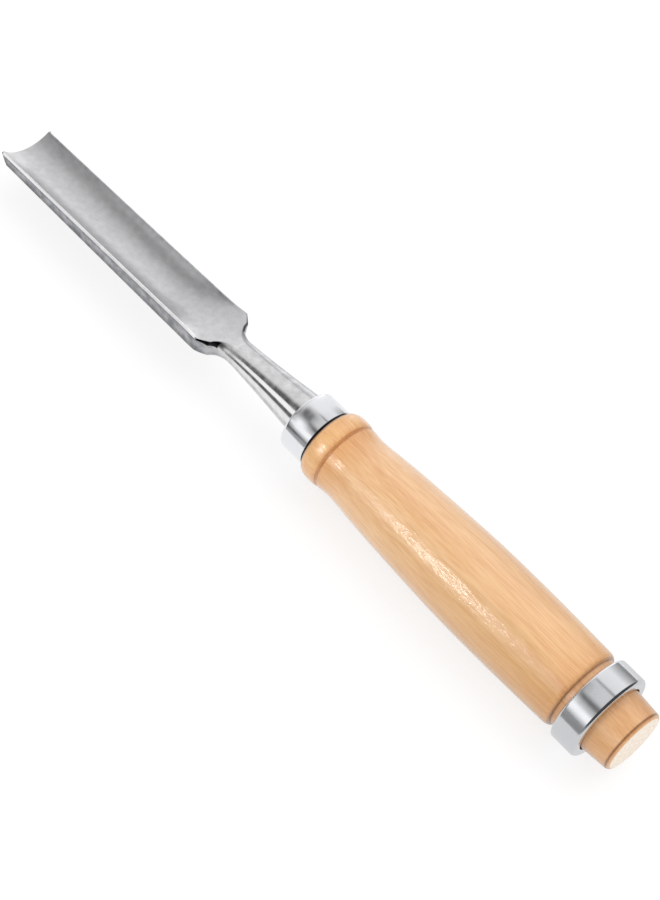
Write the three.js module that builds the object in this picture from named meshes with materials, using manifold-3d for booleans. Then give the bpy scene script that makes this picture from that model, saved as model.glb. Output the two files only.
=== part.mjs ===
// A carving gouge: a forged out-cannel blade with a square tang, a turned wooden handle,
// a front ferrule and a rear striking hoop.
// Millimetres. X runs from the struck end of the handle at zero to the cutting edge.
// Z is up, and the hollow of the blade faces up.
import * as THREE from "three";
import { mergeVertices } from "three/addons/utils/BufferGeometryUtils.js";
import Module from "manifold-3d";

// Fits
const clearance = 0.3; // left between pieces that touch or fit in each other
const overrun = 1; // how far a cutting or joining solid runs past the face that it meets

// Handle: the lengths follow one another from the struck end to the front
const buttLength = 10.1;
const hoopLength = 9.5;
const landLength = 2.2; // bare wood between the hoop and the grip
const gripLength = 104.8;
const grooveWidth = 1.2;
const beadLength = 7.2;
const ferruleGap = 0.7; // the ferrule stops short of the bead
const ferruleLength = 10.2;
const buttEndRadius = 11.1;
const buttRadius = 12;
const buttRounding = 1.5;
const seatStep = 1; // from the butt out to the wood inside the hoop, which is also the land
const gripRounding = 1.4; // the height of the quarter round from the land out to the grip
const gripRoundingLength = 2.4; // its length along the tool
const gripRadius = 15; // the fullest part of the grip
const waistRadius = 12.05;
const beadRearRadius = 12.45;
const beadRadius = 12.95;
const beadFrontRadius = 12.4;
const beadRounding = 1.4;
const grooveDepth = 0.45;
const spigotChamfer = 0.6;
const gripBulgeShare = 0.36; // where along the grip it is fullest
const gripWaistShare = 0.96;
const beadCrestShare = 0.42; // where along the bead it is fullest
// From the fullest part of the grip to the waist: how far along, and how much of the drop is done
const gripFallShares = [
  [0.12, 0.015],
  [0.24, 0.07],
  [0.36, 0.175],
  [0.48, 0.29],
  [0.6, 0.415],
  [0.73, 0.57],
  [0.85, 0.76],
  [0.93, 0.92],
];

// Front ferrule: its hole takes the bolster of the blade
const ferruleLip = 2; // how far the front is turned in, from the outside to the hole
const ferruleWall = 0.9;
const ferruleRounding = 1.2;
const ferruleEdge = 0.25; // small rounding of the rear rim

// Rear hoop: its bore takes the seat of the handle
const hoopWall = 2.15;
const hoopLip = 1.6; // thickness of its turned-in rear lip
const hoopRearRounding = 0.6;
const hoopFrontRounding = 0.8;

// Blade
const bladeLength = 102; // shoulders to cutting edge
const neckLength = 42; // ferrule to shoulders
const edgeWidth = 20.85;
const shoulderWidth = 21.4; // without the spread of the corners
const cornerSpread = 0.4; // how far the corner of each shoulder stands out
const cornerSpreadLength = 9;
const rimHeightAtEdge = 0.15; // top of the rims above the axis of the handle
const rimHeightAtShoulder = 3.6;
const rimFallPower = 0.8; // under one, the rims dip slightly between the shoulders and the edge
const hollowDepthAtEdge = 3.1;
const hollowDepthAtShoulder = 5;
const thicknessAtEdge = 3.35; // of the steel, before the bevel
const thicknessAtShoulder = 4.25;
const rimWidth = 1.15;
const rimRounding = 0.35;
const roundedRimShare = 0.96; // the most of a rim or a side that its rounding may take
const bevelLength = 3.2;
const bevelPower = 0.7; // under one, the bevel is rounded
const edgeThickness = 0.12;
const leastWall = 0.05; // height left of the side wall where the bevel has cut it away
const rampLength = 36; // over which the hollow rises into the top of the neck
const rampPastShoulder = 9; // how far of it lies behind the shoulders
const shoulderCutLength = 3.2; // the straight cut at each shoulder, along the blade
const shoulderCutDepth = 2.2;
const shoulderFilletLength = 6;
const shoulderFilletLead = 1.1; // from the straight cut to the fillet's control point
const undersideRunLength = 16; // over which the round back rises into the neck
const undersideRunLead = 5.5; // how far of it lies in front of the shoulders

// Neck and bolster: the size at the narrowest place, then at the ferrule
const neckWidth = 10.2;
const bolsterWidth = 15.3;
const neckTop = 3.65;
const bolsterTop = 8.6;
const neckBottom = -3.35;
const bolsterBottom = -5.55;
const neckSide = 0.15; // where the flat side ends and the round underside starts
const bolsterSide = 0.75;
const neckCorner = 3.1;
const bolsterCorner = 6.8;
const cornerFlat = 0.3; // between the flat top and the rounding of its corner
const widthFlarePower = 1.4;

// Tang
const tangLength = 68;
const tangRootSize = 8;
const tangEndSize = 4;

// Facets
const turns = 56; // round the handle and the rings
const hollowSteps = 8; // from the middle of the hollow to one rim
const cornerSteps = 5;
const roundingSteps = 4;
const swellSteps = 5; // from the rear of the grip to its fullest part
const beadSteps = 4; // on each side of the bead's crest
const sideCount = 4; // a square bar
const neckSections = 9;
const filletSections = 7;
const shoulderSections = 2;
const rampSections = 7;
const channelSections = 3;
const bevelSections = 8;

// Places along X that several pieces share
const hoopRear = buttLength;
const hoopFront = hoopRear + hoopLength;
const gripRear = hoopFront + landLength;
const gripFront = gripRear + gripLength;
const beadRear = gripFront + grooveWidth;
const beadFront = beadRear + beadLength;
const ferruleRear = beadFront + ferruleGap;
const ferruleFront = ferruleRear + ferruleLength;
const spigotFront = ferruleFront - ferruleWall - clearance;
const bolsterRear = spigotFront + clearance;
const shoulder = ferruleFront + neckLength;
const cutRear = shoulder - shoulderCutLength;
const neckFront = cutRear - shoulderFilletLength;
const rampFront = shoulder - rampPastShoulder + rampLength;
const tip = shoulder + bladeLength;
const bevelRear = tip - bevelLength;

// Radii that follow from what fits in what
const seatRadius = buttRadius + seatStep;
const gripRearRadius = seatRadius + gripRounding;
const hoopBoreRadius = seatRadius + clearance;
const hoopRadius = hoopBoreRadius + hoopWall;
const bolsterHalf = bolsterWidth / 2;
const bolsterRounding = Math.min(
  bolsterCorner,
  bolsterHalf * roundedRimShare,
  (bolsterTop - bolsterSide) * roundedRimShare,
);
const bolsterReach =
  Math.hypot(bolsterHalf - bolsterRounding, bolsterTop - bolsterRounding) + bolsterRounding;
const ferruleHoleRadius = bolsterReach + clearance;
const ferruleRadius = ferruleHoleRadius + ferruleLip;
const spigotRadius = ferruleRadius - ferruleWall - clearance;

const wasm = await Module();
wasm.setup();

// A closed geometry as a solid that can be joined and cut.
function solid(geometry) {
  const bare = geometry.clone();
  bare.deleteAttribute("normal");
  bare.deleteAttribute("uv");
  const merged = mergeVertices(bare);
  return new wasm.Manifold(
    new wasm.Mesh({
      numProp: 3,
      vertProperties: merged.attributes.position.array,
      triVerts: new Uint32Array(merged.index.array),
    }),
  );
}

// A solid back as a geometry with flat facets.
function geometryOf(made) {
  const mesh = made.getMesh();
  const geometry = new THREE.BufferGeometry();
  geometry.setAttribute("position", new THREE.BufferAttribute(mesh.vertProperties, 3));
  geometry.setIndex(new THREE.BufferAttribute(mesh.triVerts, 1));
  const flat = geometry.toNonIndexed();
  flat.computeVertexNormals();
  return flat;
}

// A profile point: a radius at a place along the tool.
function at(x, radius) {
  return new THREE.Vector2(radius, x);
}

// Points of an arc in a profile, centred at a place and a radius, from one angle to another.
// Where a length is given too, the arc is stretched to it along the tool.
function arc(x, radius, size, from, to, length = size) {
  const points = [];
  for (let i = 0; i <= roundingSteps; i += 1) {
    const angle = from + ((to - from) * i) / roundingSteps;
    points.push(at(x + length * Math.sin(angle), radius + size * Math.cos(angle)));
  }
  return points;
}

// A profile turned round the tool's axis.
function turned(points) {
  return new THREE.LatheGeometry(points, turns).rotateZ(-Math.PI / 2);
}

const quarter = Math.PI / 2;

function mix(from, to, share) {
  return from + (to - from) * share;
}

function ease(share) {
  return THREE.MathUtils.smoothstep(share, 0, 1);
}

// The butt, from the middle of the struck face to the shoulder inside the hoop.
function buttProfile() {
  return [
    at(0, 0),
    ...arc(buttRounding, buttEndRadius - buttRounding, buttRounding, -quarter, 0),
    at(hoopRear + hoopLip + clearance, buttRadius),
  ];
}

// The grip, from the land to the groove: rounded rear end, bulge, long fall and waist.
function gripProfile() {
  const start = gripRear + gripRoundingLength;
  const points = [
    at(hoopRear + hoopLip + clearance, seatRadius),
    ...arc(start, seatRadius, gripRounding, -quarter, 0, gripRoundingLength),
  ];
  const bulge = gripRear + gripLength * gripBulgeShare;
  const waist = gripRear + gripLength * gripWaistShare;
  for (let i = 1; i <= swellSteps; i += 1) {
    const share = i / swellSteps;
    const rise = Math.sin(share * quarter);
    points.push(at(mix(start, bulge, share), mix(gripRearRadius, gripRadius, rise)));
  }
  for (const [along, drop] of gripFallShares) {
    points.push(at(mix(bulge, waist, along), mix(gripRadius, waistRadius, drop)));
  }
  points.push(at(waist, waistRadius));
  points.push(at(gripFront, beadRearRadius));
  return points;
}

// The groove, the bead and the spigot inside the ferrule.
function frontProfile() {
  const points = [at((gripFront + beadRear) / 2, beadRearRadius - grooveDepth)];
  const crest = mix(beadRear, beadFront, beadCrestShare);
  const end = beadFront - beadRounding;
  for (let i = 0; i < beadSteps; i += 1) {
    const share = i / beadSteps;
    const rise = Math.sin(share * quarter);
    points.push(at(mix(beadRear, crest, share), mix(beadRearRadius, beadRadius, rise)));
  }
  for (let i = 0; i < beadSteps; i += 1) {
    const share = i / beadSteps;
    const fall = 1 - Math.cos(share * quarter);
    points.push(at(mix(crest, end, share), mix(beadRadius, beadFrontRadius, fall)));
  }
  points.push(...arc(end, beadFrontRadius - beadRounding, beadRounding, 0, quarter));
  points.push(at(beadFront, spigotRadius));
  points.push(at(spigotFront - spigotChamfer, spigotRadius));
  points.push(at(spigotFront, spigotRadius - spigotChamfer));
  points.push(at(spigotFront, 0));
  return points;
}

// A square bar that tapers towards the struck end, lying along X.
function taperedBar(rear, front, rearSize, frontSize) {
  const corner = Math.SQRT1_2;
  const bar = new THREE.CylinderGeometry(
    frontSize * corner,
    rearSize * corner,
    front - rear,
    sideCount,
    1,
    false,
    Math.PI / sideCount,
  );
  bar.rotateZ(-Math.PI / 2);
  bar.translate((rear + front) / 2, 0, 0);
  return bar;
}

// The size of the tang at a place along X, also past its ends.
function tangSize(x) {
  return mix(tangRootSize, tangEndSize, (bolsterRear - x) / tangLength);
}

function makeHandle() {
  const body = solid(turned([...buttProfile(), ...gripProfile(), ...frontProfile()]));
  const rear = bolsterRear - tangLength - clearance;
  const front = spigotFront + overrun;
  const spare = 2 * clearance;
  const bore = taperedBar(rear, front, tangSize(rear) + spare, tangSize(front) + spare);
  return geometryOf(body.subtract(solid(bore)));
}

// The front ferrule: a drawn tube with a rounded, turned-in front lip.
function makeFerrule() {
  const inside = ferruleRadius - ferruleWall;
  const lipRear = ferruleFront - ferruleWall;
  return turned([
    at(ferruleRear, inside),
    at(ferruleRear, ferruleRadius - ferruleEdge),
    at(ferruleRear + ferruleEdge, ferruleRadius),
    ...arc(
      ferruleFront - ferruleRounding,
      ferruleRadius - ferruleRounding,
      ferruleRounding,
      0,
      quarter,
    ),
    at(ferruleFront, ferruleHoleRadius),
    at(lipRear, ferruleHoleRadius),
    at(lipRear, inside),
    at(ferruleRear, inside),
  ]);
}

// The striking hoop: a thick ring, its rear lip turned in over the shoulder of the wood.
function makeHoop() {
  const lipRadius = buttRadius + clearance;
  const lipFront = hoopRear + hoopLip;
  return turned([
    at(hoopRear, lipRadius),
    ...arc(
      hoopRear + hoopRearRounding,
      hoopRadius - hoopRearRounding,
      hoopRearRounding,
      -quarter,
      0,
    ),
    ...arc(
      hoopFront - hoopFrontRounding,
      hoopRadius - hoopFrontRounding,
      hoopFrontRounding,
      0,
      quarter,
    ),
    at(hoopFront, hoopBoreRadius),
    at(lipFront, hoopBoreRadius),
    at(lipFront, lipRadius),
    at(hoopRear, lipRadius),
  ]);
}

// The half width of the blade, with the slight spread of its corners at the shoulders.
function bladeHalfWidth(x) {
  const along = Math.max(x - shoulder, 0);
  const spread = cornerSpread * Math.max(1 - along / cornerSpreadLength, 0) ** 2;
  return mix(shoulderWidth, edgeWidth, along / bladeLength) / 2 + spread;
}

// The half width of the forging seen from above: neck flare, fillet, straight cut, blade.
function halfWidth(x) {
  const cornerHalf = bladeHalfWidth(shoulder);
  const cutHalf = cornerHalf - shoulderCutDepth;
  if (x >= shoulder) {
    return bladeHalfWidth(x);
  }
  if (x >= cutRear) {
    return mix(cutHalf, cornerHalf, (x - cutRear) / shoulderCutLength);
  }
  if (x > neckFront) {
    // A parabola from the cut, aimed at the control point, to the straight side of the neck
    const lead = shoulderFilletLead;
    const run = cutRear - x;
    const bend = shoulderFilletLength - 2 * lead;
    const root = Math.sqrt(lead * lead + bend * run);
    const share = run / (lead + root);
    return neckWidth / 2 + (cutHalf - neckWidth / 2) * (1 - share) ** 2;
  }
  const flare = ((neckFront - x) / (neckFront - bolsterRear)) ** widthFlarePower;
  return mix(neckWidth, bolsterWidth, flare) / 2;
}

// Half a section of the forging, from the middle to the +Y side: its top, then its underside.
function halfSection(x) {
  const along = THREE.MathUtils.clamp((x - shoulder) / bladeLength, 0, 1);
  const neckShare = THREE.MathUtils.clamp((neckFront - x) / (neckFront - bolsterRear), 0, 1);
  const joint = ease((shoulder + undersideRunLead - x) / undersideRunLength);

  // The channel as if it ran on without the neck
  const rimHeight = mix(rimHeightAtShoulder, rimHeightAtEdge, along ** rimFallPower);
  const fullDepth = mix(hollowDepthAtShoulder, hollowDepthAtEdge, along);
  const bladeHalf = bladeHalfWidth(x);
  const hollowHalf = bladeHalf - rimWidth;
  const hollowRadius = (hollowHalf ** 2 + fullDepth ** 2) / (2 * fullDepth);
  const centre = rimHeight - fullDepth + hollowRadius;
  const ground = THREE.MathUtils.clamp((tip - x) / bevelLength, 0, 1) ** bevelPower;
  const fullThickness = mix(thicknessAtShoulder, thicknessAtEdge, along);
  const backRadius = hollowRadius + mix(edgeThickness, fullThickness, ground);

  // Heights
  const neckRise = ease((shoulder - x) / (shoulder - neckFront));
  const top = mix(rimHeight, mix(neckTop, bolsterTop, neckShare), neckRise);
  let half = halfWidth(x);
  const shellSide = Math.min(
    centre - Math.sqrt(backRadius ** 2 - half ** 2),
    rimHeight - leastWall,
  );
  half = Math.min(half, Math.sqrt(backRadius ** 2 - (centre - shellSide) ** 2));
  const side = mix(shellSide, mix(neckSide, bolsterSide, neckShare), joint);
  const bottom = mix(centre - backRadius, mix(neckBottom, bolsterBottom, neckShare), joint);

  // The hollow runs out up a ramp
  const depth = fullDepth * (1 - ease((rampFront - x) / rampLength));

  // The rim, which becomes the rounded corner of the neck
  const neckRounding = mix(neckCorner, bolsterCorner, neckShare);
  const wanted = mix(rimRounding, neckRounding, neckRise);
  const flat = mix(rimWidth - rimRounding, cornerFlat, neckRise);
  const cutRim = half < bladeHalf && x > shoulder ? half - hollowHalf : wanted + flat;
  const rim = THREE.MathUtils.clamp(cutRim, edgeThickness / 2, half);
  const rounding = Math.min(wanted, rim * roundedRimShare, (top - side) * roundedRimShare);
  const inner = half - rim;

  const upper = [];
  const arcRadius = depth > leastWall ? (inner ** 2 + depth ** 2) / (2 * depth) : 0;
  const spread = arcRadius ? 2 * Math.atan2(depth, inner) : 0;
  for (let i = 0; i <= hollowSteps; i += 1) {
    const share = i / hollowSteps;
    if (arcRadius) {
      const angle = spread * share;
      const lift = arcRadius * (1 - Math.cos(angle));
      upper.push([arcRadius * Math.sin(angle), top - depth + lift]);
    } else {
      upper.push([inner * share, mix(top - depth, top, share * share)]);
    }
  }
  for (let i = 0; i <= cornerSteps; i += 1) {
    const angle = (quarter * i) / cornerSteps;
    upper.push([
      half - rounding + rounding * Math.sin(angle),
      top - rounding + rounding * Math.cos(angle),
    ]);
  }

  const lower = [];
  const lowerSteps = upper.length - 1;
  const shellRadius = (half ** 2 + (side - bottom) ** 2) / (2 * (side - bottom));
  const shellSpread = 2 * Math.atan2(side - bottom, half);
  for (let i = 0; i <= lowerSteps; i += 1) {
    const share = i / lowerSteps;
    const shellAngle = shellSpread * share;
    const shellY = shellRadius * Math.sin(shellAngle);
    const shellZ = bottom + shellRadius * (1 - Math.cos(shellAngle));
    const neckY = half * Math.sin(quarter * share);
    const neckZ = side - (side - bottom) * Math.cos(quarter * share);
    lower.push([mix(shellY, neckY, joint), mix(shellZ, neckZ, joint)]);
  }
  return { upper, lower };
}

// The whole ring of a section: over the top from -Y to +Y, then back under.
function ring(x) {
  const { upper, lower } = halfSection(x);
  const mirrored = (chain) => chain.slice(1).map(([y, z]) => [-y, z]).reverse();
  const over = [...mirrored(upper), ...upper];
  const under = [...mirrored(lower), ...lower].reverse();
  return [...over, ...under].map(([y, z]) => new THREE.Vector3(x, y, z));
}

// Places from one X to another in equal steps, without the last.
function places(from, to, steps) {
  return Array.from({ length: steps }, (_, i) => mix(from, to, i / steps));
}

// The forging without its tang: a loft through sections, closed at both ends.
function forgingBody() {
  const stations = [
    ...places(bolsterRear, neckFront, neckSections),
    ...places(neckFront, cutRear, filletSections),
    ...places(cutRear, shoulder, shoulderSections),
    ...places(shoulder, rampFront, rampSections),
    ...places(rampFront, bevelRear, channelSections),
    ...places(bevelRear, tip, bevelSections),
    tip,
  ];
  const rings = stations.map(ring);
  const count = rings[0].length;
  const positions = rings.flat().flatMap((point) => point.toArray());
  const faces = [];
  for (let i = 0; i + 1 < rings.length; i += 1) {
    for (let j = 0; j < count; j += 1) {
      const a = i * count + j;
      const b = i * count + ((j + 1) % count);
      faces.push(a, a + count, b);
      faces.push(b, a + count, b + count);
    }
  }
  // Each end is a strip between the top chain and the underside
  const last = (rings.length - 1) * count;
  const chain = count / 2;
  for (let j = 0; j + 1 < chain; j += 1) {
    const opposite = count - 1 - j;
    faces.push(j, j + 1, opposite);
    faces.push(j + 1, opposite - 1, opposite);
    faces.push(last + j, last + opposite, last + j + 1);
    faces.push(last + j + 1, last + opposite, last + opposite - 1);
  }
  const geometry = new THREE.BufferGeometry();
  geometry.setAttribute("position", new THREE.Float32BufferAttribute(positions, 3));
  geometry.setIndex(faces);
  return geometry;
}

function makeBlade() {
  const rear = bolsterRear - tangLength;
  const front = bolsterRear + overrun;
  const tang = taperedBar(rear, front, tangSize(rear), tangSize(front));
  return geometryOf(solid(forgingBody()).add(solid(tang)));
}

function piece(name, geometry, color, roughness, metalness) {
  const material = new THREE.MeshStandardMaterial({ color, roughness, metalness });
  const mesh = new THREE.Mesh(geometry, material);
  mesh.name = name;
  return mesh;
}

const gouge = new THREE.Group();
gouge.add(piece("blade", makeBlade(), 0xb4b6b8, 0.35, 1));
gouge.add(piece("front_ferrule", makeFerrule(), 0xd8dadc, 0.12, 1));
gouge.add(piece("handle", makeHandle(), 0xe6bd8c, 0.4, 0));
gouge.add(piece("rear_hoop", makeHoop(), 0xd8dadc, 0.12, 1));

export default gouge;
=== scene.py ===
"""A carving gouge, dressed round its CAD frame: turned handle, front ferrule, striking hoop, forged blade.

Sizes are in millimetres until a piece is finished, and X runs from the struck end to the cutting edge.
"""

import math

import bmesh
import bpy
from mathutils import Matrix, Vector


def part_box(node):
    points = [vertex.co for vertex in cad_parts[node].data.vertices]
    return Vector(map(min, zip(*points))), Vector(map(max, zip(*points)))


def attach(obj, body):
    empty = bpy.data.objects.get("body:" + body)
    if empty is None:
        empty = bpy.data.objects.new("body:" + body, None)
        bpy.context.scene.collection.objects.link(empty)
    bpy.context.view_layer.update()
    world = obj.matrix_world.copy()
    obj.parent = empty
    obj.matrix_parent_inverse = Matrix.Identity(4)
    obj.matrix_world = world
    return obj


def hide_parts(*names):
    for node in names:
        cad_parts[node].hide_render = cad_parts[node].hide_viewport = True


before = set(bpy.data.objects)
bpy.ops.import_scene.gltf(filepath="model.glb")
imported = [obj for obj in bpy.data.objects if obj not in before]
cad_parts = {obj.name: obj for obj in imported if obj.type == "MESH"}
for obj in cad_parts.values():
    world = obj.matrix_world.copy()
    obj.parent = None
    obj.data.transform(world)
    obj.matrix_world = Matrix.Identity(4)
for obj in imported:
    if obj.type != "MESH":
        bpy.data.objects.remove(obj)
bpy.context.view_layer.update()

# Camera: the gouge is seen from behind and above its struck end, on the near side of the blade.
camera_right = Vector((-0.66355, -0.71566, 0.21802))
camera_up = Vector((0.65666, -0.4175, 0.62809))
camera_place = Vector((-0.11515, 0.38825, 0.5154))
camera = bpy.data.objects.new("camera", bpy.data.cameras.new("camera"))
camera.data.lens = 88
camera.data.sensor_width = 36
camera.matrix_world = (
    Matrix.Translation(camera_place)
    @ Matrix((camera_right, camera_up, camera_right.cross(camera_up))).transposed().to_4x4()
)
bpy.context.scene.collection.objects.link(camera)
bpy.context.scene.camera = camera


# Handle: one piece of pale hardwood, turned between centres and lacquered, with a square bore for the tang.
# The struck end is left sawn, the butt steps up inside the hoop, and a groove and a bead end the grip.
METRE = 1000  # in millimetres
MM = 0.001  # in metres
TURN_STEPS = 160
MERGE_DISTANCE = 0.001
SHARP_ANGLE = math.radians(18)
COLOUR_A, COLOUR_B, COLOUR_OUT = 6, 7, 2  # sockets of a Mix node, which share their names
VALUE_A, VALUE_B = 2, 3


def node_box(node):
    """The lowest and the highest corner of a CAD node, in millimetres."""
    return [Vector(corner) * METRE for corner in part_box(node)]


def mix(a, b, share):
    return a + (b - a) * share


def arc(x, radius, size, start, end, steps=10, length=0):
    """Points of a rounding in a profile, centred at a place and a radius. It may be stretched to a length."""
    angles = [math.radians(mix(start, end, i / steps)) for i in range(steps + 1)]
    return [(x + (length or size) * math.sin(a), radius + size * math.cos(a)) for a in angles]


def smooth_curve(points, steps):
    """Points along a smooth curve through the given places and radii."""
    ends = [points[0], *points, points[-1]]
    curve = []
    for a, b, c, d in zip(ends, ends[1:], ends[2:], ends[3:]):
        for i in range(steps):
            t = i / steps
            spot = []
            for p, q, r, s in zip(a, b, c, d):
                square = 2 * p - 5 * q + 4 * r - s
                cube = 3 * q - p - 3 * r + s
                spot.append(0.5 * (2 * q + (r - p) * t + square * t**2 + cube * t**3))
            curve.append(tuple(spot))
    return [*curve, points[-1]]


def turned(profile, closed):
    """A profile of places and radii, turned round the axis of the tool."""
    mesh = bmesh.new()
    verts = [mesh.verts.new((x, 0, radius)) for x, radius in profile]
    edges = [mesh.edges.new(pair) for pair in zip(verts, verts[1:])]
    if closed:
        edges.append(mesh.edges.new((verts[-1], verts[0])))
    bmesh.ops.spin(
        mesh,
        geom=verts + edges,
        cent=(0, 0, 0),
        axis=(1, 0, 0),
        angle=2 * math.pi,
        steps=TURN_STEPS,
        use_merge=True,
    )
    return mesh


def extrude_square(mesh, edges, x, size):
    """Extrudes an open ring of edges to a square of a size round the axis, at a place along the tool."""
    grown = bmesh.ops.extrude_edge_only(mesh, edges=edges)["geom"]
    for vert in grown:
        if isinstance(vert, bmesh.types.BMVert):
            reach = max(abs(vert.co.y), abs(vert.co.z))
            vert.co = (x, vert.co.y / reach * size / 2, vert.co.z / reach * size / 2)
    return [edge for edge in grown if isinstance(edge, bmesh.types.BMEdge) and len(edge.link_faces) == 1]


def per_metre(*sizes):
    """The scale of a pattern in metres whose marks have the given sizes in millimetres."""
    return [METRE / size for size in sizes]


def linear(code):
    """A colour written as sRGB hex, turned to linear."""
    parts = [int(code[i : i + 2], 16) / 255 for i in (1, 3, 5)]
    return [c / 12.92 if c <= 0.04045 else ((c + 0.055) / 1.055) ** 2.4 for c in parts] + [1]


def grey(level):
    return (level, level, level, 1)


def add(tree, kind, inputs=(), stops=(), **settings):
    """Adds a node. Inputs are given by name or number, and an output given there is linked."""
    made = tree.nodes.new(kind)
    for name, value in settings.items():
        setattr(made, name, value)
    for name, value in dict(inputs).items():
        if isinstance(value, bpy.types.NodeSocket):
            tree.links.new(value, made.inputs[name])
        else:
            made.inputs[name].default_value = value
    if stops:
        elements = made.color_ramp.elements
        while len(elements) < len(stops):
            elements.new(0.5)
        for element, (place, colour) in zip(elements, stops):
            element.position = place
            element.color = colour
    return made


def new_material(name):
    """A material with an empty tree but for its Principled shader and output."""
    material = bpy.data.materials.new(name)
    material.use_nodes = True
    tree = material.node_tree
    return material, tree, tree.nodes["Principled BSDF"]


def finish_piece(name, mesh, material, node):
    """Turns a bmesh in millimetres into a piece in metres that stands for its CAD node."""
    bmesh.ops.remove_doubles(mesh, verts=mesh.verts, dist=MERGE_DISTANCE)
    bmesh.ops.recalc_face_normals(mesh, faces=mesh.faces)
    bmesh.ops.scale(mesh, vec=(MM, MM, MM), verts=mesh.verts)
    for face in mesh.faces:
        face.smooth = True
    for edge in mesh.edges:
        edge.smooth = edge.calc_face_angle(0) < SHARP_ANGLE
    data = bpy.data.meshes.new(name)
    mesh.to_mesh(data)
    mesh.free()
    data.materials.append(material)
    piece = bpy.data.objects.new(name, data)
    bpy.context.scene.collection.objects.link(piece)
    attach(piece, "root")
    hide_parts(node)
    return piece


HANDLE_FRONT = node_box("handle")[1].x
GRIP_RADIUS = node_box("handle")[1].z
HOOP_REAR = node_box("rear_hoop")[0].x
HOOP_FRONT = node_box("rear_hoop")[1].x
FERRULE_REAR = node_box("front_ferrule")[0].x
FERRULE_FRONT = node_box("front_ferrule")[1].x
FERRULE_RADIUS = node_box("front_ferrule")[1].z
CLEARANCE = 0.3  # between the wood and its rings, and round the tang
BUTT_END_RADIUS = 11.1
BUTT_RADIUS = 12
BUTT_ROUNDING = 1.5
HOOP_LIP = 1.6
SEAT_RADIUS = 13  # inside the hoop, and the bare land in front of it
LAND_LENGTH = 2.2
GRIP_LENGTH = 104.8
GRIP_ROUNDING = 1.4
GRIP_ROUNDING_LENGTH = 2.4
GRIP_BULGE = 0.36  # shares of the grip's length, to its fullest part and to its waist
GRIP_WAIST = 0.96
GRIP_STEPS = 6  # between two places of its curve
SWELL_STEPS = 4
WAIST_RADIUS = 12.05
GROOVE_WIDTH = 1.2
GROOVE_DEPTH = 0.45
GROOVE_ARC = 60  # degrees, half of the arc of its floor
BEAD_LENGTH = 7.2
BEAD_CREST = 0.42  # share of its length
BEAD_REAR_RADIUS = 12.45
BEAD_RADIUS = 12.95
BEAD_FRONT_RADIUS = 12.4
BEAD_ROUNDING = 1.4
PAST_JOIN = 9  # degrees that an arc leaves out where the arc before it has made the point
FERRULE_WALL = 0.9
SPIGOT_CHAMFER = 0.6
TANG_REAR = node_box("blade")[0].x
TANG_ROOT_SIZE = 8
TANG_END_SIZE = 4
GRIP_REAR = HOOP_FRONT + LAND_LENGTH
GRIP_FRONT = GRIP_REAR + GRIP_LENGTH
BEAD_REAR = GRIP_FRONT + GROOVE_WIDTH
BEAD_FRONT = BEAD_REAR + BEAD_LENGTH
SPIGOT_RADIUS = FERRULE_RADIUS - FERRULE_WALL - CLEARANCE
seat_rear = HOOP_REAR + HOOP_LIP + CLEARANCE
bulge = mix(GRIP_REAR, GRIP_FRONT, GRIP_BULGE)
waist = mix(GRIP_REAR, GRIP_FRONT, GRIP_WAIST)
groove = (GRIP_FRONT + BEAD_REAR) / 2
crest = mix(BEAD_REAR, BEAD_FRONT, BEAD_CREST)
lip = BEAD_FRONT - BEAD_ROUNDING

# The grip swells, then falls to the waist: how far along, and how much of the change is done
swell_start = GRIP_REAR + GRIP_ROUNDING_LENGTH
swell_radius = SEAT_RADIUS + GRIP_ROUNDING
swell = [(i / SWELL_STEPS, math.sin(math.radians(90 * i / SWELL_STEPS))) for i in range(SWELL_STEPS + 1)]
fall = (
    (0.12, 0.015),
    (0.24, 0.07),
    (0.36, 0.175),
    (0.48, 0.29),
    (0.6, 0.415),
    (0.73, 0.57),
    (0.85, 0.76),
    (0.93, 0.92),
)
grip = smooth_curve(
    [(mix(swell_start, bulge, along), mix(swell_radius, GRIP_RADIUS, done)) for along, done in swell]
    + [(mix(bulge, waist, along), mix(GRIP_RADIUS, WAIST_RADIUS, done)) for along, done in fall]
    + [(waist, WAIST_RADIUS), (GRIP_FRONT, BEAD_REAR_RADIUS)],
    GRIP_STEPS,
)
handle = turned(
    [
        (0, 0),
        *arc(BUTT_ROUNDING, BUTT_END_RADIUS - BUTT_ROUNDING, BUTT_ROUNDING, -90, 0),
        (seat_rear, BUTT_RADIUS),
        (seat_rear, SEAT_RADIUS),
        *arc(swell_start, SEAT_RADIUS, GRIP_ROUNDING, -90, 0, length=GRIP_ROUNDING_LENGTH),
        *grip[1:],
        *arc(groove, BEAD_REAR_RADIUS, -GROOVE_DEPTH, GROOVE_ARC, -GROOVE_ARC, length=-GROOVE_WIDTH / 2),
        *arc(crest, BEAD_REAR_RADIUS, BEAD_RADIUS - BEAD_REAR_RADIUS, -90, 0, length=crest - BEAD_REAR),
        *arc(crest, BEAD_FRONT_RADIUS, BEAD_RADIUS - BEAD_FRONT_RADIUS, PAST_JOIN, 90, length=lip - crest),
        *arc(lip, BEAD_FRONT_RADIUS - BEAD_ROUNDING, BEAD_ROUNDING, PAST_JOIN, 90),
        (BEAD_FRONT, SPIGOT_RADIUS),
        (HANDLE_FRONT - SPIGOT_CHAMFER, SPIGOT_RADIUS),
        (HANDLE_FRONT, SPIGOT_RADIUS - SPIGOT_CHAMFER),
    ],
    closed=False,
)

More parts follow.
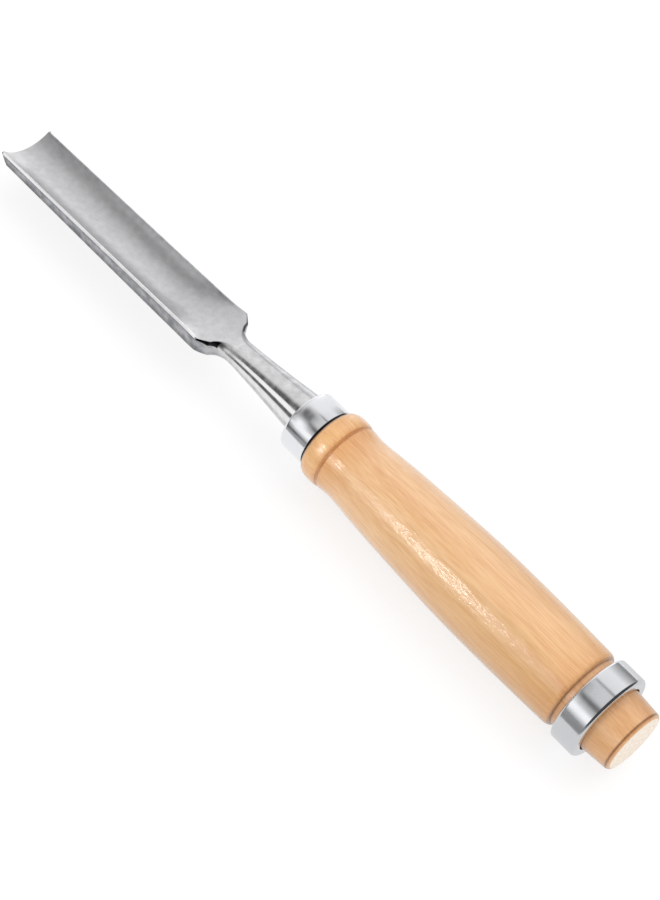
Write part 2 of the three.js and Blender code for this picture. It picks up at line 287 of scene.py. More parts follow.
# The open front of the spigot closes to the mouth of the square bore, which tapers back to its floor
bore_edges = [e for e in handle.edges if len(e.link_faces) == 1 and e.verts[0].co.x > FERRULE_REAR]
bore_edges = extrude_square(handle, bore_edges, HANDLE_FRONT, TANG_ROOT_SIZE + 2 * CLEARANCE)
bore_edges = extrude_square(handle, bore_edges, TANG_REAR - CLEARANCE, TANG_END_SIZE + 2 * CLEARANCE)
bmesh.ops.contextual_create(handle, geom=bore_edges)

# Lacquered beech: pale and warm, with faint long streaks and short fine fibres. Painted shade darkens the
# near side. The butt and the rear of the grip are a little darker, and painted shade darkens a line on the
# rounding of the struck end, the land, the groove and the gap behind the ferrule. The struck end is sawn and
# has no lacquer. The fibres and pores are drawn coarser than real ones, so that they show.
STREAK_SIZE = (71.43, 3.846, 3.846)  # along the handle, then across it
FIBRE_SIZE = (11.11, 0.5, 0.5)
LACQUER_FLOW_SIZE = (3.846, 1.25, 1.25)
PORE_SIZE = (1.111, 1.111, 1.111)
GRAIN_LEAN = (0, math.radians(0.8), math.radians(-1.5))
NEAR_SHADE_SIDE = (12, 15.5)  # off the axis on the near side, where the painted shade starts and where it is full
NEAR_SHADE_WANDER = 8
SAWN_DEPTHS = (0.12, 0.04)
FIBRE_SHARE = 0.8
wood, tree, shader = new_material("lacquered_beech")
coords = add(tree, "ShaderNodeTexCoord").outputs["Object"]
noises = []
for sizes, lean, detail in (
    (STREAK_SIZE, GRAIN_LEAN, 3),
    (FIBRE_SIZE, GRAIN_LEAN, 3),
    (LACQUER_FLOW_SIZE, GRAIN_LEAN, 3),
    (PORE_SIZE, (0, 0, 0), 4),
):
    laid = add(tree, "ShaderNodeMapping", {"Vector": coords, "Rotation": lean, "Scale": per_metre(*sizes)})
    noises.append(add(tree, "ShaderNodeTexNoise", {"Vector": laid.outputs[0], "Scale": 1, "Detail": detail}))
streaks, fibres, flow, pores = noises
place = add(tree, "ShaderNodeSeparateXYZ", {"Vector": coords})
# Painted shade on the near side: its edge wanders with the streaks, and it is strongest at the rear of the
# grip
wander = add(
    tree,
    "ShaderNodeMath",
    {0: streaks.outputs["Fac"], 1: NEAR_SHADE_WANDER * MM, 2: place.outputs["Y"]},
    operation="MULTIPLY_ADD",
)
near_side_shade = add(
    tree,
    "ShaderNodeMapRange",
    {"Value": wander.outputs[0], "From Min": NEAR_SHADE_SIDE[0] * MM, "From Max": NEAR_SHADE_SIDE[1] * MM},
    interpolation_type="SMOOTHSTEP",
)
along = add(tree, "ShaderNodeMath", {0: place.outputs["X"], 1: METRE / HANDLE_FRONT}, operation="MULTIPLY")
near_shade_stops = ((0, 0.4), (GRIP_REAR, 0.4), (GRIP_REAR + 3, 1), (45, 0.95), (115, 0.3))
near_shade_along = add(
    tree,
    "ShaderNodeValToRGB",
    {"Fac": along.outputs[0]},
    stops=[(spot / HANDLE_FRONT, grey(level)) for spot, level in near_shade_stops],
)
near_shade = add(tree, "ShaderNodeMath", {0: near_side_shade.outputs[0], 1: near_shade_along.outputs[0]}, operation="MULTIPLY")

# Tones along the handle: places, and the colours that they lay over the wood. The dark lines on the rounding
# of the struck end, at the front of the hoop, at the foot of the grip, in the groove and in the gap behind
# the ferrule are painted shade. The butt and the rear of the grip are a little darker.
shade_and_tone_stops = (
    (0, "#ffffff"),
    (0.5, "#f0e2d4"),
    (1.1, "#84644a"),
    (1.6, "#f2e8dc"),
    (HOOP_REAR, "#efe4d8"),
    (HOOP_FRONT + 0.1, "#c4b0a2"),
    (HOOP_FRONT + 0.5, "#f4eae4"),
    (GRIP_REAR - 0.4, "#f0e4da"),
    (GRIP_REAR, "#74563e"),
    (GRIP_REAR + 0.45, "#f4e6d4"),
    (GRIP_REAR + 8, "#fdf8f0"),
    (GRIP_REAR + 30, "#ffffff"),
    (GRIP_FRONT - 12, "#ffffff"),
    (GRIP_FRONT - 0.1, "#f4e4cc"),
    (groove, "#cca67c"),
    (BEAD_REAR + 0.1, "#f2e2ca"),
    (BEAD_REAR + 2, "#fff9e8"),
    (BEAD_FRONT - 0.9, "#fbf0dc"),
    (BEAD_FRONT - 0.35, "#2a190f"),
)
shade_and_tone_ramp = [(spot / HANDLE_FRONT, tint) for spot, tint in shade_and_tone_stops]

# The tones of the wood multiply each other: the share of each, what it follows, and its colours
lacquered = grey(1)
for share, follows, tones in (
    (1, streaks, ((0.3, "#e1af7f"), (0.48, "#eabd8c"), (0.7, "#edc293"))),
    (FIBRE_SHARE, fibres, ((0.3, "#eddccb"), (0.62, "#ffffff"))),
    # painted shade on the near side
    (near_shade.outputs[0], streaks, ((0, "#ece9dc"), (1, "#ece9dc"))),
    # painted shade in the creases and gaps along the handle, and a darker butt
    (1, along, shade_and_tone_ramp),
):
    stops = [(spot, linear(tint)) for spot, tint in tones]
    tone = add(tree, "ShaderNodeValToRGB", {"Fac": follows.outputs[0]}, stops=stops)
    laid = add(
        tree,
        "ShaderNodeMix",
        {"Factor": share, COLOUR_A: lacquered, COLOUR_B: tone.outputs[0]},
        data_type="RGBA",
        blend_type="MULTIPLY",
    )
    lacquered = laid.outputs[COLOUR_OUT]

# The sawn end: paler, rough and without lacquer
sawn = add(
    tree,
    "ShaderNodeMapRange",
    {"Value": place.outputs["X"], "From Min": SAWN_DEPTHS[0] * MM, "From Max": SAWN_DEPTHS[1] * MM},
).outputs[0]
end_tone = add(
    tree,
    "ShaderNodeValToRGB",
    {"Fac": pores.outputs["Fac"]},
    stops=((0.35, linear("#ecdcc8")), (0.6, linear("#fbf0e4"))),
)
colour = add(
    tree,
    "ShaderNodeMix",
    {"Factor": sawn, COLOUR_A: lacquered, COLOUR_B: end_tone.outputs[0]},
    data_type="RGBA",
)
tree.links.new(colour.outputs[COLOUR_OUT], shader.inputs["Base Color"])
rough = add(tree, "ShaderNodeMix", {"Factor": sawn, VALUE_A: 0.36, VALUE_B: 0.85})
tree.links.new(rough.outputs[0], shader.inputs["Roughness"])
lacquer = add(tree, "ShaderNodeMapRange", {"Value": sawn, "To Min": 1, "To Max": 0})
tree.links.new(lacquer.outputs[0], shader.inputs["Coat Weight"])
for noise, strength, distance, socket in (
    (fibres, 0.15, 0.05, "Normal"),
    (flow, 0.7, 0.3, "Coat Normal"),
):
    bump = add(
        tree,
        "ShaderNodeBump",
        {"Height": noise.outputs["Fac"], "Strength": strength, "Distance": distance * MM},
    )
    tree.links.new(bump.outputs[0], shader.inputs[socket])
shader.inputs["Coat Roughness"].default_value = 0.2
turned_handle = finish_piece("turned_handle", handle, wood, "handle")


# Front ferrule: a short drawn steel tube, chrome plated, turned in at the front round the bolster.
# It is pressed over the spigot and keeps the wood from splitting.
FERRULE_ROUNDING = 1.2
FERRULE_REAR_ROUNDING = 0.25
FERRULE_HOLE = 9.09
FERRULE_HOLE_ROUNDING = 0.2
SMALL_ARC_STEPS = 4
inside = FERRULE_RADIUS - FERRULE_WALL
ferrule = turned(
    [
        (FERRULE_REAR, inside),
        *arc(
            FERRULE_REAR + FERRULE_REAR_ROUNDING,
            FERRULE_RADIUS - FERRULE_REAR_ROUNDING,
            FERRULE_REAR_ROUNDING,
            -90,
            0,
            SMALL_ARC_STEPS,
        ),
        *arc(FERRULE_FRONT - FERRULE_ROUNDING, FERRULE_RADIUS - FERRULE_ROUNDING, FERRULE_ROUNDING, 0, 90),
        *arc(
            FERRULE_FRONT - FERRULE_HOLE_ROUNDING,
            FERRULE_HOLE + FERRULE_HOLE_ROUNDING,
            FERRULE_HOLE_ROUNDING,
            90,
            180,
            SMALL_ARC_STEPS,
        ),
        (FERRULE_FRONT - FERRULE_WALL, FERRULE_HOLE),
        (FERRULE_FRONT - FERRULE_WALL, inside),
    ],
    closed=True,
)

# Bright chrome plate: a mirror, with the faint waves of the polished tube under it.
WAVE_SIZE = 6.25
SMEAR_SIZE = 2.381
chrome, tree, shader = new_material("bright_chrome_plate")
coords = add(tree, "ShaderNodeTexCoord").outputs["Object"]
waves = add(tree, "ShaderNodeTexNoise", {"Vector": coords, "Scale": METRE / WAVE_SIZE, "Detail": 2})
smears = add(tree, "ShaderNodeTexNoise", {"Vector": coords, "Scale": METRE / SMEAR_SIZE, "Detail": 4})
rough = add(
    tree,
    "ShaderNodeMapRange",
    {"Value": smears.outputs["Fac"], "From Min": 0.35, "From Max": 0.7, "To Min": 0.09, "To Max": 0.18},
)
tree.links.new(rough.outputs[0], shader.inputs["Roughness"])
ripple = add(tree, "ShaderNodeBump", {"Height": waves.outputs["Fac"], "Strength": 0.3, "Distance": 0.1 * MM})
tree.links.new(ripple.outputs[0], shader.inputs["Normal"])
shader.inputs["Base Color"].default_value = linear("#e6e7ea")
shader.inputs["Metallic"].default_value = 1
finish_piece("front_ferrule_tube", ferrule, chrome, "front_ferrule")


# Rear hoop: a thick steel striking ring, chrome plated, its rear lip turned in over the shoulder of the wood.
# It takes the spread of the wood when the handle is struck.
HOOP_RADIUS = node_box("rear_hoop")[1].z
HOOP_BORE = SEAT_RADIUS + CLEARANCE
HOOP_LIP_BORE = BUTT_RADIUS + CLEARANCE
HOOP_LIP_ROUNDING = 0.2
HOOP_REAR_ROUNDING = 1.3
HOOP_FRONT_ROUNDING = 0.8
hoop = turned(
    [
        *arc(
            HOOP_REAR + HOOP_LIP_ROUNDING,
            HOOP_LIP_BORE + HOOP_LIP_ROUNDING,
            HOOP_LIP_ROUNDING,
            180,
            270,
            SMALL_ARC_STEPS,
        ),
        *arc(HOOP_REAR + HOOP_REAR_ROUNDING, HOOP_RADIUS - HOOP_REAR_ROUNDING, HOOP_REAR_ROUNDING, -90, 0),
        *arc(HOOP_FRONT - HOOP_FRONT_ROUNDING, HOOP_RADIUS - HOOP_FRONT_ROUNDING, HOOP_FRONT_ROUNDING, 0, 90),
        (HOOP_FRONT, HOOP_BORE),
        (HOOP_REAR + HOOP_LIP, HOOP_BORE),
        (HOOP_REAR + HOOP_LIP, HOOP_LIP_BORE),
    ],
    closed=True,
)
finish_piece("striking_hoop", hoop, chrome, "rear_hoop")


# Blade: one forging of tool steel, hollow ground along the top, with a neck that swells into a bolster.
# Its square tang is driven into the handle. The hollow, the near rim and the neck are ground and polished,
# and the outside of the blade keeps a darker, rougher grind.
TIP = node_box("blade")[1].x
BLADE_LENGTH = 102  # shoulders to cutting edge
NECK_LENGTH = 42  # ferrule to shoulders
SHOULDER_WIDTH = 21.4
EDGE_WIDTH = 20.85
CORNER_SPREAD = 0.4  # how far the corner of each shoulder stands out
CORNER_SPREAD_LENGTH = 9
RIM_HEIGHTS = (4.19, 0.74)  # at the shoulders, at the edge
RIM_DROP_POWER = 0.8  # under 1, they drop faster near the shoulders
HOLLOW_DEPTHS = (5.55, 3.65)
STEEL_THICKNESSES = (4.25, 3.35)
RIM_WIDTH = 0.8  # a narrow flat and a face that leans outwards
RIM_FACE_WIDTH = 0.45
RIM_FACE_LEAN = math.radians(54)
RIM_FACE_LIMIT = 0.9  # share of the side's height that the face may take
BEVEL_LENGTH = 3.2
BEVEL_POWER = 0.7  # under 1, it is rounded
EDGE_THICKNESS = 0.12
RAMP_LENGTH = 36
RAMP_PAST_SHOULDER = 9
FLAT_DEPTH = 0.05  # a hollow shallower than this is drawn without an arc
LEAST_SIDE = 0.05  # between the rim and the foot of the side
CUT_LENGTH = 3.2
CUT_DEPTH = 2.2
FILLET_LENGTH = 6
FILLET_LEAD = 1.1
UNDERSIDE_RUN = 16
UNDERSIDE_LEAD = 5.5
NECK_WIDTHS = (10.2, 15.3)  # at the narrowest place, at the ferrule
NECK_TOPS = (3.65, 8.6)
NECK_BOTTOMS = (-3.35, -5.55)
NECK_SIDES = (0.15, 0.75)
NECK_CORNERS = (3.1, 6.8)
NECK_CORNER_LIMIT = 0.96  # share of half the width or of the side's height
NECK_FLARE_POWER = 1.4  # over 1, it swells late
CORNER_FLAT = 0.3
HOLLOW_STEPS = 24
CORNER_STEPS = 12
FLANK_STEPS = 4
BOLSTER_REAR = FERRULE_FRONT - FERRULE_WALL
SHOULDER = FERRULE_FRONT + NECK_LENGTH
CUT_REAR = SHOULDER - CUT_LENGTH
NECK_FRONT = CUT_REAR - FILLET_LENGTH
RAMP_FRONT = SHOULDER - RAMP_PAST_SHOULDER + RAMP_LENGTH


def clamp(share):
    return min(max(share, 0), 1)


def ease(share):
    share = clamp(share)
    return share * share * (3 - 2 * share)


def blade_half_width(x):
    """Half the width of the blade, with the slight spread of its corners at the shoulders."""
    along = max(x - SHOULDER, 0)
    spread = CORNER_SPREAD * max(1 - along / CORNER_SPREAD_LENGTH, 0) ** 2
    return mix(SHOULDER_WIDTH, EDGE_WIDTH, along / BLADE_LENGTH) / 2 + spread


def half_width(x):
    """The outline from above: flare of the neck, fillet, straight cut, blade."""
    corner_half = blade_half_width(SHOULDER)
    cut_half = corner_half - CUT_DEPTH
    if x >= SHOULDER:
        return blade_half_width(x)
    if x >= CUT_REAR:
        return mix(cut_half, corner_half, (x - CUT_REAR) / CUT_LENGTH)
    neck_half = NECK_WIDTHS[0] / 2
    if x > NECK_FRONT:
        run = CUT_REAR - x
        bend = FILLET_LENGTH - 2 * FILLET_LEAD
        share = run / (FILLET_LEAD + math.sqrt(FILLET_LEAD**2 + bend * run))
        return neck_half + (cut_half - neck_half) * (1 - share) ** 2
    flare = ((NECK_FRONT - x) / (NECK_FRONT - BOLSTER_REAR)) ** NECK_FLARE_POWER
    return mix(neck_half, NECK_WIDTHS[1] / 2, flare)


def half_section(x):
    """Half a section from the middle to the near side: the top, then the underside."""
    along = clamp((x - SHOULDER) / BLADE_LENGTH)
    neck = clamp((NECK_FRONT - x) / (NECK_FRONT - BOLSTER_REAR))
    joint = ease((SHOULDER + UNDERSIDE_LEAD - x) / UNDERSIDE_RUN)
    rise = ease((SHOULDER - x) / (SHOULDER - NECK_FRONT))

    # The channel as if it ran on without the neck
    rim_height = mix(*RIM_HEIGHTS, along**RIM_DROP_POWER)
    full_depth = mix(*HOLLOW_DEPTHS, along)
    blade_half = blade_half_width(x)
    hollow_half = blade_half - RIM_WIDTH
    hollow_radius = (hollow_half**2 + full_depth**2) / (2 * full_depth)
    centre = rim_height - full_depth + hollow_radius
    ground = clamp((TIP - x) / BEVEL_LENGTH) ** BEVEL_POWER
    back_radius = hollow_radius + mix(EDGE_THICKNESS, mix(*STEEL_THICKNESSES, along), ground)

    # Heights and the foot of the side
    top = mix(rim_height, mix(*NECK_TOPS, neck), rise)
    half = half_width(x)
    shell_side = min(centre - math.sqrt(back_radius**2 - half**2), rim_height - LEAST_SIDE)
    half = min(half, math.sqrt(back_radius**2 - (centre - shell_side) ** 2))
    side = mix(shell_side, mix(*NECK_SIDES, neck), joint)
    bottom = mix(centre - back_radius, mix(*NECK_BOTTOMS, neck), joint)
    depth = full_depth * (1 - ease((RAMP_FRONT - x) / RAMP_LENGTH))

    # The rim is a narrow flat and a leaning face, and turns into the round corner of the neck
    rim = RIM_WIDTH
    if half < blade_half and x > SHOULDER:
        rim = max(half - hollow_half, EDGE_THICKNESS / 2)
    face = rim * RIM_FACE_WIDTH / RIM_WIDTH
    fall = min(face * math.tan(RIM_FACE_LEAN), (top - side) * RIM_FACE_LIMIT)
    limit = min(half * NECK_CORNER_LIMIT, (top - side) * NECK_CORNER_LIMIT)
    neck_rounding = min(mix(*NECK_CORNERS, neck), limit)
    inner = half - mix(rim, min(neck_rounding + CORNER_FLAT, half), rise)
    corner = []
    for i in range(CORNER_STEPS + 1):
        turn = i / CORNER_STEPS * math.pi / 2
        round_y = half - neck_rounding * (1 - math.sin(turn))
        round_z = top - neck_rounding * (1 - math.cos(turn))
        down = (i - 1) / (CORNER_STEPS - 1)
        leaning = (half - face * (1 - down), top - fall * down) if i else (half - rim, top)
        corner.append((mix(leaning[0], round_y, rise), mix(leaning[1], round_z, rise)))
    flank = [(half, mix(corner[-1][1], side, i / FLANK_STEPS)) for i in range(1, FLANK_STEPS)]

    upper = []
    arc_radius = (inner**2 + depth**2) / (2 * depth) if depth > FLAT_DEPTH else 0
    for i in range(HOLLOW_STEPS):
        share = i / HOLLOW_STEPS
        if arc_radius:
            angle = 2 * math.atan2(depth, inner) * share
            upper.append((arc_radius * math.sin(angle), top - depth + arc_radius * (1 - math.cos(angle))))
        else:
            upper.append((inner * share, mix(top - depth, top, share * share)))
    upper += corner + flank

    lower = []
    shell_radius = (half**2 + (side - bottom) ** 2) / (2 * (side - bottom))
    for i in range(len(upper)):
        share = i / (len(upper) - 1)
        angle = 2 * math.atan2(side - bottom, half) * share
        shell = (shell_radius * math.sin(angle), bottom + shell_radius * (1 - math.cos(angle)))
        angle = math.pi / 2 * share
        round_neck = (half * math.sin(angle), side - (side - bottom) * math.cos(angle))
        lower.append((mix(shell[0], round_neck[0], joint), mix(shell[1], round_neck[1], joint)))
    return upper, lower


def whole_section(x):
    """The ring of a section: over the top from the far side, then back under."""
    upper, lower = half_section(x)
    over = [(-y, z) for y, z in upper[:0:-1]] + upper
    under = [(-y, z) for y, z in lower[:0:-1]] + lower
    return over + under[::-1]


def places(start, end, steps):
    return [mix(start, end, i / steps) for i in range(steps)]


stations = (
    places(BOLSTER_REAR, NECK_FRONT, 30)
    + places(NECK_FRONT, CUT_REAR, 16)
    + places(CUT_REAR, SHOULDER, 6)
    + places(SHOULDER, RAMP_FRONT, 20)
    + places(RAMP_FRONT, TIP - BEVEL_LENGTH, 14)
    + places(TIP - BEVEL_LENGTH, TIP, 16)
    + [TIP]
)
forging = bmesh.new()
turn_place = forging.verts.layers.int.new("turn_place")
dullness_and_shade = forging.loops.layers.float.new("dullness_and_shade")
polish = forging.loops.layers.float.new("polish")
first = whole_section(stations[0])
ring = bmesh.ops.create_circle(forging, segments=len(first))["verts"]
for i, vert in enumerate(ring):
    vert[turn_place] = i
    vert.co = (stations[0], *first[i])
rear_edges = list(forging.edges)
front_edges = rear_edges
for x in stations[1:]:
    grown = bmesh.ops.extrude_edge_only(forging, edges=front_edges)["geom"]
    section = whole_section(x)
    for vert in grown:
        if isinstance(vert, bmesh.types.BMVert):
            vert.co = (x, *section[vert[turn_place]])
    front_edges = [g for g in grown if isinstance(g, bmesh.types.BMEdge) and len(g.link_faces) == 1]

# The hollow is satin, with painted shade towards its far side. The near rim and the neck are polished, but
# for the fillet between them. The far rim has painted shade and less polish. The outside is dull, with
# painted shade as darker lines along the flanks and under the neck, and a painted dark reflection in the
# corners of the shoulders.
PAINTED_CORNER_DARK = 2  # a dullness past 1 is the painted dark reflection in the corners of the shoulders
CORNER_DARK_LENGTH = 2  # behind the cut
CORNER_DARK_REACH = 0.1  # in front of the shoulders
CORNER_DARK_CLEAR_STEPS = 2  # of the corner that stay clean beside the hollow
NECK_POLISH_RUN = 12  # over which the polish comes in, behind the cut
OUTSIDE_REAR = 7  # behind the shoulders, where the rough grind starts
OUTSIDE_RUN = 8
FILLET_FRONT = 2  # in front of the shoulders, where the polish starts to go
FILLET_FRONT_RUN = 3
FILLET_REAR_RUN = 5  # behind the fillet, over which it comes back
FILLET_LOSS = 0.7
FAR_SIDE_SHADE_STEPS = 4
FAR_SIDE_SHADE_RUN = 6
FAR_SIDE_SHADE = 0.6
FAR_RIM_SHADE = 0.55
FAR_RIM_SHADED_POLISH = 0.3
FLANK_SHADE_LINE = 0.35
NECK_SIDE_DULLNESS = 0.25
NECK_UNDER_SHADE = 0.55
side_rung = len(first) // 4  # steps from the middle of a section to its side
foot_rung = HOLLOW_STEPS + CORNER_STEPS
last_over = 2 * side_rung
for face in forging.faces:
    spots = [loop.vert[turn_place] for loop in face.loops]
    rungs = [abs((spot if spot <= last_over else spot - last_over - 1) - side_rung) for spot in spots]
    above = max(spots) <= last_over
    hollow = above and max(rungs) <= HOLLOW_STEPS
    rim = above and not hollow and max(rungs) <= foot_rung
    for loop, rung in zip(face.loops, rungs):
        x = loop.vert.co.x
        far = loop.vert.co.y < 0
        at_corner = CUT_REAR - CORNER_DARK_LENGTH < x < SHOULDER + CORNER_DARK_REACH
        neck = ease((CUT_REAR - x) / NECK_POLISH_RUN)
        if hollow:
            # Painted shade towards the far side of the hollow
            far_side_shade = ease((rung - HOLLOW_STEPS + FAR_SIDE_SHADE_STEPS) / FAR_SIDE_SHADE_STEPS) if far else 0
            loop[dullness_and_shade] = FAR_SIDE_SHADE * far_side_shade * ease((x - SHOULDER) / FAR_SIDE_SHADE_RUN)
            loop[polish] = neck
        # Painted dark reflection in the corners of the shoulders
        elif rim and rung > HOLLOW_STEPS + CORNER_DARK_CLEAR_STEPS and at_corner:
            loop[dullness_and_shade] = PAINTED_CORNER_DARK
        elif rim:
            fillet = ease((SHOULDER + FILLET_FRONT - x) / FILLET_FRONT_RUN)
            fillet *= ease((x - NECK_FRONT + FILLET_REAR_RUN) / FILLET_REAR_RUN)
            # Painted shade on the far rim, which is also given less polish
            loop[dullness_and_shade] = FAR_RIM_SHADE if far else 0
            loop[polish] = (1 - FILLET_LOSS * fillet) * (FAR_RIM_SHADED_POLISH if far else 1)
        else:
            outside = ease((x - SHOULDER + OUTSIDE_REAR) / OUTSIDE_RUN)
            # Painted shade: darker lines along the flanks
            flank_shade_line = FLANK_SHADE_LINE if rung in (foot_rung, side_rung) else 0
            # Painted shade under the neck, over the duller sides
            neck_dullness_and_shade = NECK_SIDE_DULLNESS if above else NECK_UNDER_SHADE
            loop[dullness_and_shade] = (1 + flank_shade_line) * outside + neck_dullness_and_shade * (1 - outside)
            loop[polish] = neck
bmesh.ops.contextual_create(forging, geom=front_edges)

# The tang: from the rear face of the bolster, a square taper back to its end
rear_edges = extrude_square(forging, rear_edges, BOLSTER_REAR, TANG_ROOT_SIZE)
rear_edges = extrude_square(forging, rear_edges, TANG_REAR, TANG_END_SIZE)
bmesh.ops.contextual_create(forging, geom=rear_edges)

# Ground tool steel: satin in the hollow, from fine marks, bright where it is polished, duller and darker
# outside, with painted shade and a painted dark reflection where its attribute carries them. The marks are
# drawn coarser than real ones, so that they show.
MARK_SIZE = (2, 0.4167, 0.4167)  # along the blade, then across it
CLOUD_SIZE = 2.381  # faint uneven patches of the grind
steel, tree, shader = new_material("ground_tool_steel")
coords = add(tree, "ShaderNodeTexCoord").outputs["Object"]
mark_place = add(tree, "ShaderNodeMapping", {"Vector": coords, "Scale": per_metre(*MARK_SIZE)})
marks = add(tree, "ShaderNodeTexNoise", {"Vector": mark_place.outputs[0], "Scale": 1, "Detail": 3})
cloud = add(tree, "ShaderNodeTexNoise", {"Vector": coords, "Scale": METRE / CLOUD_SIZE, "Detail": 4})
# This attribute carries the dull grind, and also the painted shade and the painted dark reflection
dull_and_shade = add(tree, "ShaderNodeAttribute", attribute_name="dullness_and_shade").outputs["Fac"]
bright = add(tree, "ShaderNodeAttribute", attribute_name="polish").outputs["Fac"]
# Past 1, the attribute is the painted dark reflection in the corners of the shoulders
corner_dark = add(tree, "ShaderNodeMath", {0: dull_and_shade, 1: 1}, operation="SUBTRACT", use_clamp=True)

# Each tone lies over the ones before it: its share, the noise that varies it, and its two colours
colour = grey(1)
for share, noise, dark, light in (
    (1, marks, "#c8c8ca", "#d6d6d7"),
    (0.5, cloud, "#c0c0c2", "#dcdcdd"),
    (bright, cloud, "#dcdcdd", "#ececec"),
    # dull grind, and painted shade
    (dull_and_shade, cloud, "#85868a", "#b4b5b8"),
    # painted dark reflection in the corners of the shoulders
    (corner_dark.outputs[0], cloud, "#232425", "#232425"),
):
    stops = ((0.32, linear(dark)), (0.68, linear(light)))
    tone = add(tree, "ShaderNodeValToRGB", {"Fac": noise.outputs["Fac"]}, stops=stops)
    laid = add(
        tree,
        "ShaderNodeMix",
        {"Factor": share, COLOUR_A: colour, COLOUR_B: tone.outputs[0]},
        data_type="RGBA",
    )
    colour = laid.outputs[COLOUR_OUT]
tree.links.new(colour, shader.inputs["Base Color"])
satin = add(
    tree,
    "ShaderNodeMapRange",
    {"Value": marks.outputs["Fac"], "From Min": 0.3, "From Max": 0.7, "To Min": 0.34, "To Max": 0.42},
)
glossy = add(
    tree,
    "ShaderNodeMapRange",
    {"Value": cloud.outputs["Fac"], "From Min": 0.35, "From Max": 0.65, "To Min": 0.1, "To Max": 0.2},
)
rough = add(tree, "ShaderNodeMix", {"Factor": bright, VALUE_A: satin.outputs[0], VALUE_B: glossy.outputs[0]})
tree.links.new(rough.outputs[0], shader.inputs["Roughness"])
scratches = add(
    tree,
    "ShaderNodeBump",
    {"Height": marks.outputs["Fac"], "Strength": 0.25, "Distance": 0.02 * MM},
)
tree.links.new(scratches.outputs[0], shader.inputs["Normal"])
shader.inputs["Metallic"].default_value = 1
finish_piece("forged_blade", forging, steel, "blade")


# Floor: a plain white table that the hoop touches. The camera sees it almost white, with a soft shadow of the
# tool on it, and the tool gets the light that such a table throws back.
TABLE_REACH = 6  # in metres, each way
floor_mesh = bmesh.new()
bmesh.ops.create_grid(floor_mesh, x_segments=1, y_segments=1, size=TABLE_REACH)
bmesh.ops.translate(floor_mesh, vec=(0, 0, -HOOP_RADIUS / METRE), verts=floor_mesh.verts)
floor_data = bpy.data.meshes.new("floor")
floor_mesh.to_mesh(floor_data)
floor_mesh.free()
floor = bpy.data.objects.new("floor", floor_data)
bpy.context.scene.collection.objects.link(floor)
table_white, tree, shader = new_material("white_table")
tree.nodes.remove(shader)
path = add(tree, "ShaderNodeLightPath")
seen = add(
    tree,
    "ShaderNodeMath",
    {0: path.outputs["Is Camera Ray"], 1: path.outputs["Is Transmission Ray"]},
    operation="ADD",
)
lit = add(tree, "ShaderNodeBsdfDiffuse", {"Color": grey(0.8)})
faint = add(tree, "ShaderNodeBsdfDiffuse", {"Color": grey(0.25)})
glow = add(tree, "ShaderNodeEmission", {"Color": grey(1), "Strength": 0.78})
shown = add(tree, "ShaderNodeAddShader", {0: faint.outputs[0], 1: glow.outputs[0]})

# What the metal mirrors, with places in metres: a painted shadow makes the table darker towards the hoop, and
# painted shade darkens it past its near side, most of all beside the blade
coords = add(tree, "ShaderNodeTexCoord").outputs["Object"]
place = add(tree, "ShaderNodeSeparateXYZ", {"Vector": coords})
painted_sheet_shadow = add(
    tree,
    "ShaderNodeMapRange",
    {"Value": place.outputs["X"], "From Min": 0.02, "From Max": 0.14, "To Min": 0.75, "To Max": 1.02},
)
painted_blade_shade = add(
    tree,
    "ShaderNodeMapRange",
    {"Value": place.outputs["X"], "From Min": 0.187, "From Max": 0.207, "To Min": 0.38, "To Max": 0.14},
)
painted_near_shade = add(
    tree,
    "ShaderNodeMapRange",
    {
        "Value": place.outputs["Y"],
        "From Min": 0.057,
        "From Max": 0.067,
        "To Min": 1,
        "To Max": painted_blade_shade.outputs[0],
    },
)
level = add(tree, "ShaderNodeMath", {0: painted_sheet_shadow.outputs[0], 1: painted_near_shade.outputs[0]}, operation="MULTIPLY")
mirrored = add(tree, "ShaderNodeEmission", {"Color": grey(1), "Strength": level.outputs[0]})
surface = lit
for ray, instead in ((seen.outputs[0], shown), (path.outputs["Is Glossy Ray"], mirrored)):
    surface = add(tree, "ShaderNodeMixShader", {0: ray, 1: surface.outputs[0], 2: instead.outputs[0]})
tree.links.new(surface.outputs[0], tree.nodes["Material Output"].inputs["Surface"])
floor_data.materials.append(table_white)


# World: a light tent. Its panels and gaps are bands round the tool's length, and they differ with the
# direction along the tool, so the hoop, the ferrule, the hollow and the neck each show their own. Its mouth,
# behind the struck end, is dark.
TENT_MOUTH = 0.06
DAYLIGHT = 0.72  # the even light that the rest of the scene gets
world = bpy.data.worlds.new("light_tent")
world.use_nodes = True
bpy.context.scene.world = world
tree = world.node_tree
way = add(tree, "ShaderNodeTexCoord").outputs["Generated"]
parts = add(tree, "ShaderNodeSeparateXYZ", {"Vector": way})
height = add(tree, "ShaderNodeMath", {0: parts.outputs["Z"], 1: parts.outputs["Y"]}, operation="ARCTAN2")
turn = add(
    tree,
    "ShaderNodeMapRange",
    {"Value": height.outputs[0], "From Min": -math.pi, "From Max": math.pi},
)

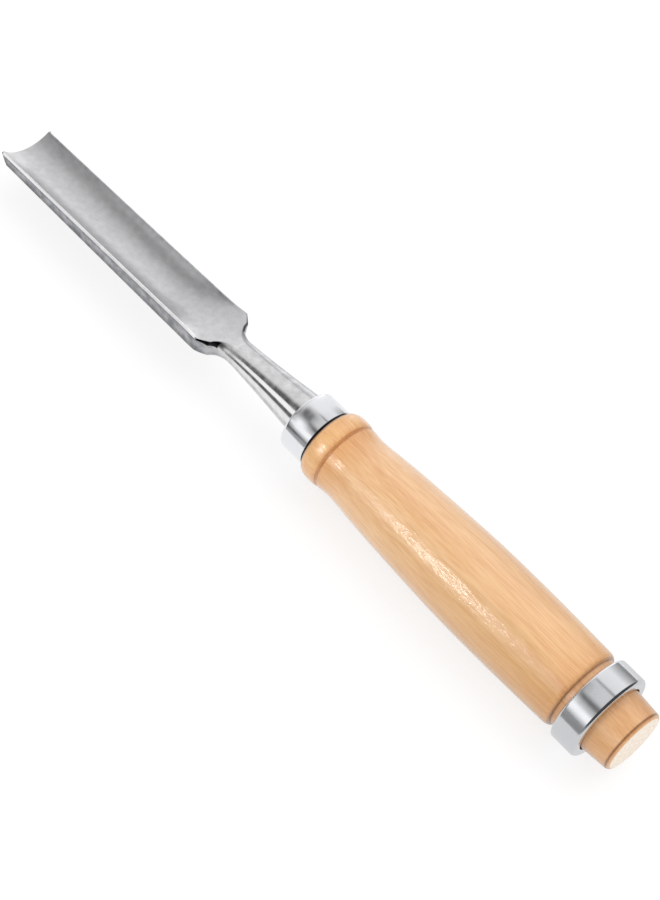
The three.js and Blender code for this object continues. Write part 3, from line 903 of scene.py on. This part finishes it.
# The panels of the tent, each with the span of directions over which it takes over from the one before, and
# its grey levels by the angle round the tool's length, in degrees up from the near side
panels = (
    (
        (-0.3, -0.1),
        ((0, 0.45), (7, 0.77), (12, 1.1), (22, 1.2), (26, 1), (31, 0.7), (40, 0.46), (45, 0.2), (49, 0.14))
        + ((53, 0.26), (58, 0.55), (62, 0.7), (92, 0.72), (96, 0.36), (99, 0.36), (101, 0.85), (136, 0.95))
        + ((148, 0.7), (156, 0.54), (164, 0.42), (171, 0.28), (176, 0.3)),
    ),
    (
        (0.24, 0.34),
        ((0, 0.45), (7, 0.75), (12, 1.1), (32, 1.2), (40, 0.95), (47, 0.6), (53, 0.34), (60, 0.18))
        + ((72, 0.12), (80, 0.2), (86, 0.42), (92, 0.65), (99, 0.9), (110, 1)),
    ),
    (
        (0.41, 0.45),
        ((0, 0.25), (11, 0.3), (13, 0.9), (22, 0.9), (24, 0.35), (50, 0.45), (85, 0.9), (127, 1.15))
        + ((155, 1.7), (180, 2.4)),
    ),
    (
        (0.53, 0.56),
        ((0, 0.1), (5, 0.12), (9, 1.25), (35, 1.25), (39, 0.1), (63, 0.1), (72, 0.3), (82, 0.65))
        + ((90, 0.78), (127, 0.8)),
    ),
    (
        (0.64, 0.7),
        ((0, 0.3), (60, 0.5), (127, 0.88), (180, 1.5)),
    ),
)
tent = grey(TENT_MOUTH)
for span, levels in panels:
    stops = [((angle + 180) / 360, grey(level)) for angle, level in levels]
    panel = add(tree, "ShaderNodeValToRGB", {"Fac": turn.outputs[0]}, stops=stops)
    share = add(
        tree,
        "ShaderNodeMapRange",
        {"Value": parts.outputs["X"], "From Min": span[0], "From Max": span[1]},
        interpolation_type="SMOOTHSTEP",
    )
    joined = add(
        tree,
        "ShaderNodeMix",
        {"Factor": share.outputs[0], COLOUR_A: tent, COLOUR_B: panel.outputs[0]},
        data_type="RGBA",
    )
    tent = joined.outputs[COLOUR_OUT]

# Only the metal and the lacquer mirror the tent, and the camera sees plain white
path = add(tree, "ShaderNodeLightPath")
sky = grey(DAYLIGHT)
for ray, instead in (("Is Glossy Ray", tent), ("Is Camera Ray", grey(1))):
    joined = add(
        tree,
        "ShaderNodeMix",
        {"Factor": path.outputs[ray], COLOUR_A: sky, COLOUR_B: instead},
        data_type="RGBA",
    )
    sky = joined.outputs[COLOUR_OUT]
tree.links.new(sky, tree.nodes["Background"].inputs["Color"])

# Lamps: a short softbox low on the near side that lights and shows in the handle alone, a broad one there
# that does not show, one overhead on the far side, and one that faces the struck end.
LAMP_AIM = Vector((0.1, 0, 0))
for name, place, size, watts in (
    ("lacquer_softbox", (0.375, 0.8, 0.35), (0.14, 0.1), 1.2),
    ("near_softbox", (0.15, 0.9, 0.3), (1.2, 0.5), 1.6),
    ("far_softbox", (0.1, -0.45, 0.9), (1.6, 0.9), 4.5),
    ("end_softbox", (-0.9, 0.2, 0.3), (0.5, 0.5), 2),
):
    light = bpy.data.lights.new(name, "AREA")
    light.shape = "RECTANGLE"
    light.size, light.size_y = size
    light.energy = watts
    lamp = bpy.data.objects.new(name, light)
    lamp.location = place
    lamp.rotation_euler = (LAMP_AIM - Vector(place)).to_track_quat("-Z", "Y").to_euler()
    lamp.visible_camera = False
    lamp.visible_glossy = False
    bpy.context.scene.collection.objects.link(lamp)
lit_wood = bpy.data.collections.new("lit_wood")
lit_wood.objects.link(turned_handle)
lacquer_lamp = bpy.data.objects["lacquer_softbox"]
lacquer_lamp.visible_glossy = True
lacquer_lamp.light_linking.receiver_collection = lit_wood

bpy.context.scene.view_settings.view_transform = "Standard"
bpy.context.view_layer.update()
